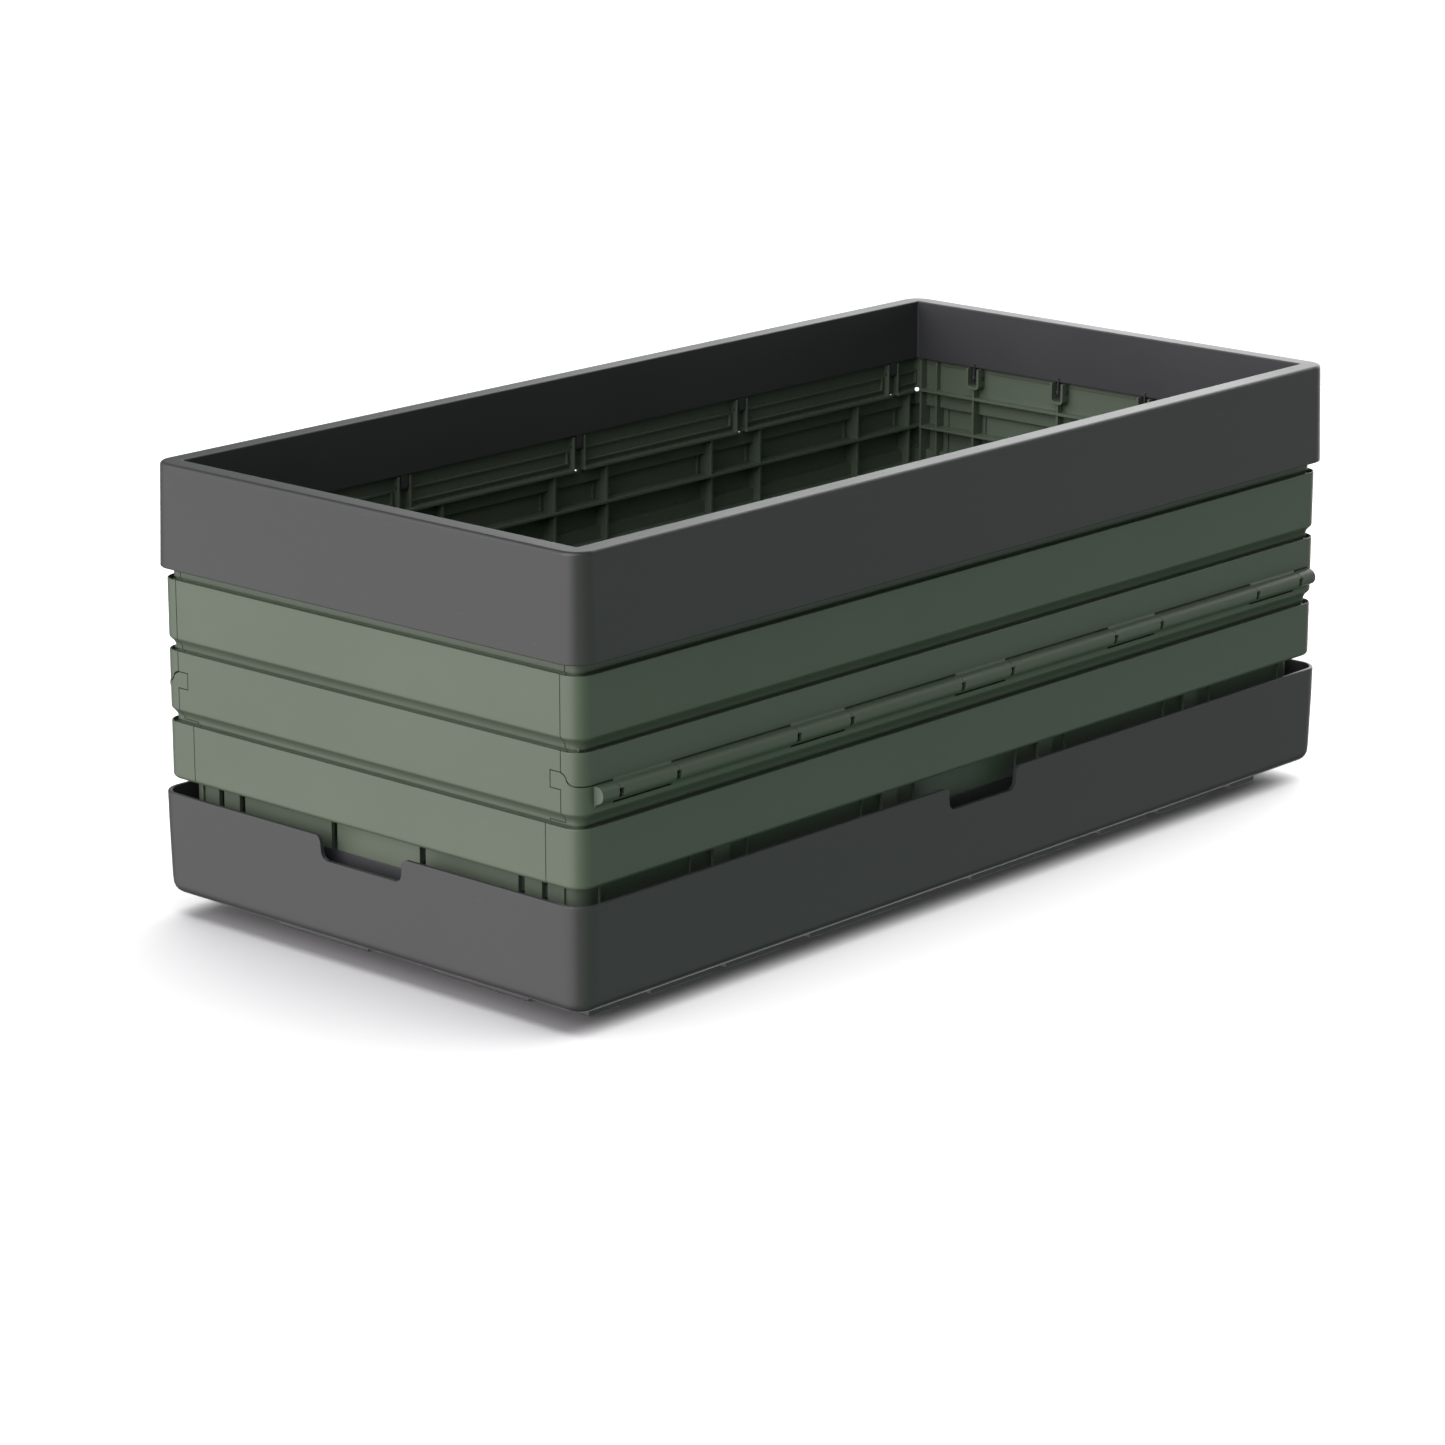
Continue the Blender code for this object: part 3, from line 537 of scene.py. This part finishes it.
def front_lower():
    side = add("front_lower_look", swept_ring(body_profile()))
    boolean(side, prism(lower_side_outline(), "x", -CLEAR_X, CLEAR_X), "INTERSECT")
    cuts = [box(xc - FLANGE_HALF, xc + FLANGE_HALF, FACE_Y - 12, FACE_Y + SKIN + 0.5,
                LIP_LOW, SPLIT_Z + 3) for xc in SHORT_X]
    boolean(side, merged(cuts), "DIFFERENCE")

    split_z = SPLIT_Z - HALF_GAP - 0.4
    parts = [box(-RIB_END, RIB_END, FACE_Y + 4.2, FACE_Y + RIB_D, split_z - RIB_T, split_z)]
    parts += [side_row(z) for z in (129.9, 99.6)]
    for x in RIB_X:
        parts.append(upright("x", FACE_Y, x - RIB_T / 2, x + RIB_T / 2,
                             99.4, SPLIT_Z - 2.0, RIB_D - 1.2))

    # below each short knuckle: the foot of the blend, and a backing behind the flange
    blend = [(out, z) for out, z in knuckle_outline(True) if z < LIP_LOW and out > -1.0]
    blend = [(ROOT, blend[0][1])] + blend + [(blend[-1][0] + 0.25, LIP_LOW), (ROOT, LIP_LOW)]
    y0, y1, half = FACE_Y + SKIN - 0.6, FACE_Y + SKIN + 1.6, FLANGE_HALF + 1.0
    for xc in SHORT_X:
        parts.append(front_prism(blend, xc - 27.6, xc + 27.6))
        parts.append(box(xc - half, xc + half, y0, y1, LIP_LOW - 3.0, LIP_LOW - 0.2))
        parts.append(box(xc - half, xc + half, y0 + 1.2, y1 - 0.02,
                         LIP_LOW - 2.9, SPLIT_Z - 2.0))
    for xc in LONG_X:                               # knuckle, and arm down to the base hinge
        parts.append(front_prism(knuckle_outline(True), xc - LONG_HALF, xc + LONG_HALF))
        parts.append(box(xc - 8, xc + 8, FACE_Y + 8.4, FACE_Y + 10.8, BASE_HINGE_Z, 99.0))
        parts.append(peg("x", (FACE_Y + BASE_HINGE_IN, BASE_HINGE_Z), xc - 10, xc + 10,
                         BASE_BARREL_R, 20))
    for sign in (-1, 1):
        parts.append(front_prism(knuckle_outline(True), *span(sign, *END_KNUCKLE)))
    boolean(side, merged(parts), "UNION")
    boolean(side, merged(fold_holes(half_length=381, slot_reach=29.0)), "DIFFERENCE")
    return dress(side, mat_sage)


# slanted bores through the upper back side: start, stop, radius
BORES = (
    ((377.0, 178.0, 248.2), (403.0, 199.7, 241.1), 1.7),
    ((-8.4, 179.0, 247.4), (13.3, 200.0, 240.6), 0.55),
    ((169.4, 179.0, 247.3), (192.5, 200.0, 240.5), 0.3),
    ((346.2, 179.0, 248.3), (371.0, 200.0, 241.6), 0.3),
)


def back_upper_from(front):
    side = turned(front, "back_upper_look")
    bores = []
    for start, stop, radius in BORES:
        start, stop = Vector(start), Vector(stop)
        bore = bmesh.new()
        bmesh.ops.create_cone(bore, cap_ends=True, segments=14, radius1=radius, radius2=radius,
                              depth=(stop - start).length)
        turn = Vector((0, 0, 1)).rotation_difference(stop - start).to_matrix().to_4x4()
        place = Matrix.Translation((start + stop) / 2) @ turn
        bmesh.ops.transform(bore, matrix=place, verts=bore.verts[:])
        bores.append(bore)
    boolean(side, merged(bores), "DIFFERENCE")
    return dress(side, mat_sage)


# -------------------------------------------------------------------- ends
def u_outline(centre, half, radius, steps, bottom, top):
    """(y, z) outline of a U with rounded bottom corners."""
    points = [(centre - half, top), (centre - half, bottom + radius)]
    points += arc(centre - half + radius, bottom + radius, radius, 180, 270, steps)
    points += arc(centre + half - radius, bottom + radius, radius, 270, 360, steps)
    return points + [(centre + half, top)]


def left_end():
    end = add("left_end_look", swept_ring(body_profile()))
    boolean(end, prism(end_outline(), "x", -CLEAR_X, -370), "INTERSECT")
    parts = []
    for z in (247.0, 217.7, 188.4, 159.1, 129.9, 99.6):
        wide = SEAM_LOW_Y - 0.8 if z < SEAM_STEP_Z else SEAM_Y - 0.8
        parts.append(box(FACE_X + row_depth(z), FACE_X + RIB_D, -wide, wide,
                         z - RIB_T / 2, z + RIB_T / 2))
    parts.append(box(FACE_X + GROOVE + 1.0, FACE_X + 8.2, -SEAM_Y + 0.7, SEAM_Y - 0.7,
                     267.6, 268.4))
    for y in END_Y:
        parts.append(upright("y", FACE_X, y - RIB_T / 2, y + RIB_T / 2,
                             99.4, 255.0, RIB_D - 0.8))
    for sign in (-1, 1):                            # edge ribs along both seams
        parts.append(upright("y", FACE_X, *span(sign, SEAM_Y - 0.9, SEAM_Y - 2.7),
                             TAB_TOP_Z + 2.0, PANEL_TOP - 0.6, RIB_D - 0.8))
        parts.append(upright("y", FACE_X, *span(sign, SEAM_LOW_Y - 0.9, SEAM_LOW_Y - 2.9),
                             99.4, PANEL_TOP - 0.9, RIB_D - 3.2))

    # thin uprights near the outer columns: bottom z, top z of each row
    for z0, z1 in ((218.7, 234.5), (198.6, 216.7), (160.1, 185.4), (149.4, 158.1)):
        for y in (-162.0, END_Y[0], END_Y[-1], 162.0):
            inward = -1 if y > 0 else 1
            parts.append(box(FACE_X + 2.0, FACE_X + 4.6, y + inward * 4, y + inward * 5.2,
                             z0 + 0.6, z1 - 3))
    for yc in END_Y:                                # blocks round the collar pivots
        block = u_outline(yc, half=6.2, radius=3.2, steps=5,
                          bottom=POCKET_BOTTOM, top=PANEL_TOP - 0.04)
        parts.append(prism(block, "x", FACE_X + GROOVE + 1.2, FACE_X + 15.4))
    boolean(end, merged(parts), "UNION")

    holes = []
    for yc in END_Y:
        pocket = u_outline(yc, half=4.2, radius=2.0, steps=4,
                           bottom=POCKET_BOTTOM + 2.0, top=275.0)
        holes.append(prism(pocket, "x", FACE_X + 6.3, FACE_X + 20))
        holes.append(peg("y", (FACE_X + PIVOT_IN, PIVOT_Z), yc - 9, yc + 9, 1.8, 16))
    for sign in (-1, 1):
        holes.append(box(FACE_X - 1, FACE_X + 9, sign * 172.0, sign * 180.4, 137.9, 139.2))
    boolean(end, merged(holes), "DIFFERENCE")
    return dress(end, mat_sage)


# ------------------------------------------------------------ collar frame
def top_frame():
    top, low = 316.8, 244.9
    edge_r, lip_r, lip_in, skirt_in = 2.5, 0.9, -12.5, -9.6
    profile = [(4.0, low), (4.45, low + 0.6)]
    profile += [(2.5 + 2.0 * (top - edge_r - z) / (top - low), z) for z in (262.0, 280.0, 298.0)]
    profile += arc(0.0, top - edge_r, edge_r, 0, 90, 8)
    profile += arc(lip_in + lip_r, top - lip_r, lip_r, 90, 180, 4)
    profile += [(lip_in, 272.4), (-12.2, 271.8), (-9.9, 271.8), (skirt_in, 272.4),
                (skirt_in, top - 2.6), (-0.4, top - 2.6), (1.9, low + 0.4), (2.3, low)]
    collar = add("top_frame_look", swept_ring(profile))
    lug_top = 276.0
    parts = []
    for sign in (-1, 1):
        x = sign * (HALF_L - PIVOT_IN)
        for yc in END_Y:                            # lug, eye and web of an end pivot
            parts.append(box(x - sign * 0.4, x + sign * 2.2, yc - 3.0, yc + 3.0,
                             PIVOT_Z, lug_top))
            parts.append(peg("y", (x, PIVOT_Z), yc - 3.02, yc + 3.02, 2.4, 20))
            parts.append(box(x - sign * 0.2, x - sign * 4.0, yc - 0.6, yc + 0.6,
                             PIVOT_Z - 1.4, 275.0))
    for sign in (-1, 1):
        y = sign * (HALF_W - PIVOT_IN)
        for xc in SIDE_X:                           # lug and eye of a side pivot
            parts.append(box(xc - 3.3, xc + 3.3, y - 2.5, y + 2.5, PIVOT_Z, lug_top))
            parts.append(peg("x", (y, PIVOT_Z), xc - 3.32, xc + 3.32, 2.55, 20))
    boolean(collar, merged(parts), "UNION")
    return dress(collar, mat_frame)


# --------------------------------------------------------------- base tray
TRAY_RIM = 87.9
FEET_X = ((26.0, 146.0), (172.0, 230.0), (241.0, 303.0), (329.0, 361.0))


def notch(half):
    """(across, z) outline of a rounded dip in the tray rim."""
    r, floor_r, floor_z = 5.0, 6.0, 71.5
    points = [(-half - r, TRAY_RIM + 3)] + arc(-half - r, TRAY_RIM - r, r, 90, 3, 6)
    points += arc(-half + 6.6, floor_z + floor_r, floor_r, 186, 270, 6)
    return points + [(-x, z) for x, z in reversed(points)]


def foot(x0, x1, y0, y1):
    """Foot with slanted sides, from the tray down to the floor."""
    bm = bmesh.new()
    loops = []
    for inset, z in ((0.0, TRAY_Z + 0.8), (1.2, 1.0), (2.0, 0.0)):
        a, b, c, d = x0 + inset, x1 - inset, y0 + inset, y1 - inset
        loops.append([bm.verts.new((x, y, z)) for x, y in ((a, c), (b, c), (b, d), (a, d))])
    return capped(bm, loops)


def base_tray():
    fillet, low_out, wall = 9.0, 2.5, 3.0
    centre = (low_out - fillet, TRAY_Z + fillet)
    outer = [(low_out - fillet, TRAY_Z)] + arc(*centre, fillet, -80, 0, 9)
    outer += [(2.8, TRAY_Z + 12), (3.4, TRAY_Z + 32), (4.0, TRAY_Z + 52),
              (4.3, 87.0), (3.9, 87.7), (3.4, TRAY_RIM)]
    inner = [(low_out - fillet - 1.0, TRAY_Z + wall)] + arc(*centre, fillet - wall, -80, 0, 6)
    inner += [(1.0, TRAY_Z + 52), (1.3, 87.0), (1.7, 87.7), (2.1, 88.5)]
    tray = add("base_tray_look", stack(outer))
    boolean(tray, stack(inner), "DIFFERENCE")
    boolean(tray, prism(notch(36.5), "y", -230, 230), "DIFFERENCE")
    boolean(tray, prism(notch(38.5), "x", -430, 430), "DIFFERENCE")

    fence = [(-11.7, TRAY_Z + 2.0), (-11.1, TRAY_Z + 2.0), (-11.1, 74.2),
             (-11.3, 74.6), (-11.7, 74.6)]
    parts = [swept_ring(fence, 12.5)]
    for x0, x1 in FEET_X:
        for sx in (-1, 1):
            for sy in (-1, 1):
                parts.append(foot(*span(sx, x0, x1), *span(sy, 142.0, 169.5)))
    rib_low, half = TRAY_Z - 3.0, 1.2               # ribs under the tray floor
    for sx in (-1, 1):
        for y0, y1 in ((-120.0, -30.0), (30.0, 120.0)):
            parts.append(foot(*span(sx, 340.0, 366.0), y0, y1))
        for x in (40, 100, 160, 220, 280, 340):
            parts.append(box(sx * x - half, sx * x + half, -134, 134, rib_low, TRAY_Z + 0.8))
    for y in (0, -90, -45, 45, 90):
        parts.append(box(-330, 330, y - half, y + half, TRAY_Z - 2.97, TRAY_Z + 0.7))
    boolean(tray, merged(parts), "UNION")
    return dress(tray, mat_tray)


# -------------------------------------------------------------- inset base
def crate_base():
    base = add("crate_base_look", stack([(-12.0, 18.5), (-12.0, 95.2), (-12.4, 95.8)], 12.0))
    boolean(base, stack([(-15.0, 21.5), (-15.0, 99.0)], 9.0), "DIFFERENCE")
    cuts = []                                       # tall slots in the end walls
    for sx in (-1, 1):
        for y0, y1 in ((39.0, 44.5), (129.0, 134.5), (150.0, 155.0)):
            for sy in (-1, 1):
                cuts.append(box(sx * 376.0, sx * 390.0, sy * y0, sy * y1, 60.0, 94.6))
    boolean(base, merged(cuts), "DIFFERENCE")

    parts = []
    for sy in (-1, 1):
        for sx in (-1, 1):                          # thin uprights on the outside
            parts.append(box(sx * 382.6, sx * 384.6, sy * 170.2 - 0.9, sy * 170.2 + 0.9,
                             22.0, 94.0))
            for x in (55, 110, 225, 280, 365):
                parts.append(box(sx * x - 1.0, sx * x + 1.0, sy * 182.4, sy * 184.6,
                                 22.0, 94.0))
        hinge_y = sy * (HALF_W - BASE_HINGE_IN)
        for xc in SHORT_X:
            parts.append(box(xc - 12, xc + 12, sy * (HALF_W - 13.0), hinge_y,
                             BASE_HINGE_Z - 2.5, BASE_HINGE_Z + 2.5))
            parts.append(peg("x", (hinge_y, BASE_HINGE_Z), xc - 12, xc + 12,
                             BASE_BARREL_R, 20))
    pitch, half = 62.0, 0.9                         # grid on the floor
    for k in range(-5, 6):
        parts.append(box(k * pitch - half, k * pitch + half, -176.0, 176.0, 21.0, 23.0))
    for k in range(-2, 3):
        parts.append(box(-376.0, 376.0, k * pitch - half, k * pitch + half, 21.0, 22.96))
    boolean(base, merged(parts), "UNION")
    return dress(base, mat_base)


# ------------------------------------------------------------ rods and pins
def register(obj, node, body):
    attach(obj, body)
    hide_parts(node)


def steel_part(node, body, solid):
    register(dress(add(node + "_look", solid), mat_steel), node, body)


def fold_rod_profile():
    """(x, radius) of the fold rod, slightly thicker at the joints between knuckles."""
    thin, thick = 1.6, 1.75
    joint = SHORT_HALF + LONG_X[2] - LONG_HALF
    joints = [xc + sign * joint / 2 for xc in SHORT_X for sign in (-1, 1)]
    profile = [(-381, 1.2), (-380, thin)]
    for x in sorted(joints):
        if abs(x) <= 362:
            profile += [(x - 5.0, thin), (x - 4.9, thick), (x + 4.9, thick), (x + 5.0, thin)]
    return profile + [(380, thin), (381, 1.2)]


def rods_and_pins():
    pin_half, pin_r = 6.3, 1.5
    for side, sign in (("front", -1), ("back", 1)):
        fold_axis = (sign * (HALF_W + BARREL_O), BARREL_Z)
        steel_part(side + "_fold_rod", "crate_shell",
                   lathe("x", fold_axis, fold_rod_profile(), 20))
        base_axis = (sign * (HALF_W - BASE_HINGE_IN), BASE_HINGE_Z)
        steel_part(side + "_base_rod", "crate_shell", peg("x", base_axis, -350, 350, 1.5, 16))
        pivot_axis = (sign * (HALF_W - PIVOT_IN), PIVOT_Z)
        for i, xc in enumerate(SIDE_X, 1):
            steel_part("%s_frame_pin_%d" % (side, i), "crate_shell",
                       peg("x", pivot_axis, xc - pin_half, xc + pin_half, pin_r, 16))
    for side, sign in (("left", -1), ("right", 1)):
        pivot_axis = (sign * (HALF_L - PIVOT_IN), PIVOT_Z)
        for i, yc in enumerate(END_Y, 1):
            steel_part("%s_end_pin_%d" % (side, i), side + "_end",
                       peg("y", pivot_axis, yc - pin_half, yc + pin_half, pin_r, 16))


upper = front_upper()
lower = front_lower()
back_upper = back_upper_from(upper)
back_lower = dress(turned(lower, "back_lower_look"), mat_sage)
end = left_end()
right_end = dress(turned(end, "right_end_look"), mat_sage)
collar = top_frame()
tray = base_tray()
base = crate_base()
rods_and_pins()

register(tray, "base_tray", "crate_shell")
register(base, "crate_base", "crate_shell")
register(collar, "top_frame", "crate_shell")
register(upper, "front_upper_side", "crate_shell")
register(lower, "front_lower_side", "crate_shell")
register(back_upper, "back_upper_side", "crate_shell")
register(back_lower, "back_lower_side", "crate_shell")
register(end, "left_end_panel", "left_end")
register(right_end, "right_end_panel", "right_end")


# --------------------------------------------- floor, light, camera (metres)
def make_floor():
    """Round grey floor that neither lights, mirrors in nor shades the crate."""
    mesh = bpy.data.meshes.new("floor")
    bm = bmesh.new()
    bmesh.ops.create_circle(bm, cap_ends=True, segments=96, radius=30.0)
    bm.to_mesh(mesh)
    bm.free()
    floor = link_object("floor", mesh)
    mat = bpy.data.materials.new("floor_look")
    n = Nodes(mat)
    matt = n.new("ShaderNodeBsdfDiffuse", {"Color": (0.32, 0.317, 0.318, 1.0)})
    glow = n.new("ShaderNodeEmission", {"Color": (1.0, 1.0, 1.0, 1.0), "Strength": 0.025})
    both = n.new("ShaderNodeAddShader", feeds={0: (matt, "BSDF"), 1: (glow, "Emission")})
    n.new("ShaderNodeOutputMaterial", feeds={"Surface": (both, "Shader")})
    mesh.materials.append(mat)
    floor.visible_diffuse = False
    floor.visible_glossy = False
    floor.visible_shadow = False
    return floor


def make_floor_sun(floor):
    """Very soft sun that lights only the floor."""
    towards_sun = Vector((0.38, -0.02, 0.90))
    lit = bpy.data.collections.new("floor_only")
    lit.objects.link(floor)
    data = bpy.data.lights.new("floor_sun", "SUN")
    data.energy = 13.6
    data.angle = math.radians(95)
    sun = bpy.data.objects.new("floor_sun", data)
    sun.rotation_euler = towards_sun.to_track_quat("Z", "Y").to_euler()
    look.objects.link(sun)
    sun.light_linking.receiver_collection = lit


AMBIENT = (0.002, 0.002, 0.002)
# Bright regions of the surroundings: direction, cosine at the outer edge, cosine where it
# is full, colour
LOBES = (
    ((-1.0, 0.40, -0.20), 0.50, 0.90, (1.34, 1.30, 1.28)),     # low left
    ((-0.80, -0.05, 0.60), 0.65, 0.95, (2.24, 2.38, 2.48)),    # high left key
    ((-0.90, 0.15, 0.42), 0.80, 0.97, (1.30, 0.86, 1.10)),     # left key
    ((0.94, 0.22, 0.26), 0.84, 0.905, (3.16, 3.16, 3.16)),     # right, slightly back
    ((-0.10, -0.80, -0.60), 0.50, 0.95, (0.24, 0.37, 0.24)),   # low front
    ((0.75, -0.62, -0.20), 0.75, 0.97, (0.36, 0.40, 0.45)),    # low front right
    ((-0.15, -0.95, 0.25), 0.80, 0.97, (0.04, 0.06, 0.05)),    # front
    ((1.0, -0.10, 0.0), 0.75, 0.97, (0.20, 0.13, 0.06)),       # right
    ((0.74, 0.55, -0.42), 0.88, 0.97, (1.12, 1.12, 1.12)),     # low back right
    ((0.10, 1.00, 0.10), 0.40, 0.95, (0.24, 0.27, 0.25)),      # back
)


def make_world():
    """Studio of soft lobes; the camera itself sees plain white."""
    world = bpy.data.worlds.new("studio")
    bpy.context.scene.world = world
    n = Nodes(world)
    coord = n.new("ShaderNodeTexCoord")
    total = None
    for direction, outer_edge, full_edge, colour in LOBES:
        cosine = n.new("ShaderNodeVectorMath", {1: Vector(direction).normalized()},
                       {0: (coord, "Generated")}, operation="DOT_PRODUCT")
        fade = n.remap(cosine, "Value", {"From Min": outer_edge, "From Max": full_edge,
                                         "To Min": 0.0, "To Max": 1.0},
                       interpolation_type="SMOOTHSTEP")
        glow = n.new("ShaderNodeVectorMath", {0: colour}, {"Scale": (fade, "Result")},
                     operation="SCALE")
        # the first sum starts from the ambient; later ones take the running total
        feeds = {1: (glow, "Vector")}
        if total is not None:
            feeds[0] = (total, "Vector")
        total = n.new("ShaderNodeVectorMath", {0: AMBIENT}, feeds, operation="ADD")
    sky = n.new("ShaderNodeBackground", {"Strength": 1.0}, {"Color": (total, "Vector")})
    white = n.new("ShaderNodeBackground", {"Color": (1, 1, 1, 1), "Strength": 1.0})
    path = n.new("ShaderNodeLightPath")
    mix = n.new("ShaderNodeMixShader", feeds={0: (path, "Is Camera Ray"),
                                              1: (sky, "Background"), 2: (white, "Background")})
    n.new("ShaderNodeOutputWorld", feeds={"Surface": (mix, "Shader")})


def make_camera():
    data = bpy.data.cameras.new("camera")
    data.sensor_width = 36.0
    data.lens = 118.20
    data.clip_end = 100.0
    camera = link_object("camera", data)
    camera.location = (-2.4341, -2.1642, 1.0118)
    camera.rotation_euler = (math.radians(74.181), 0.0, math.radians(-47.807))
    bpy.context.scene.camera = camera
    bpy.context.scene.view_settings.view_transform = "Standard"
    bpy.context.scene.view_settings.look = "None"


make_floor_sun(make_floor())
make_world()
make_camera()

bpy.context.view_layer.update()
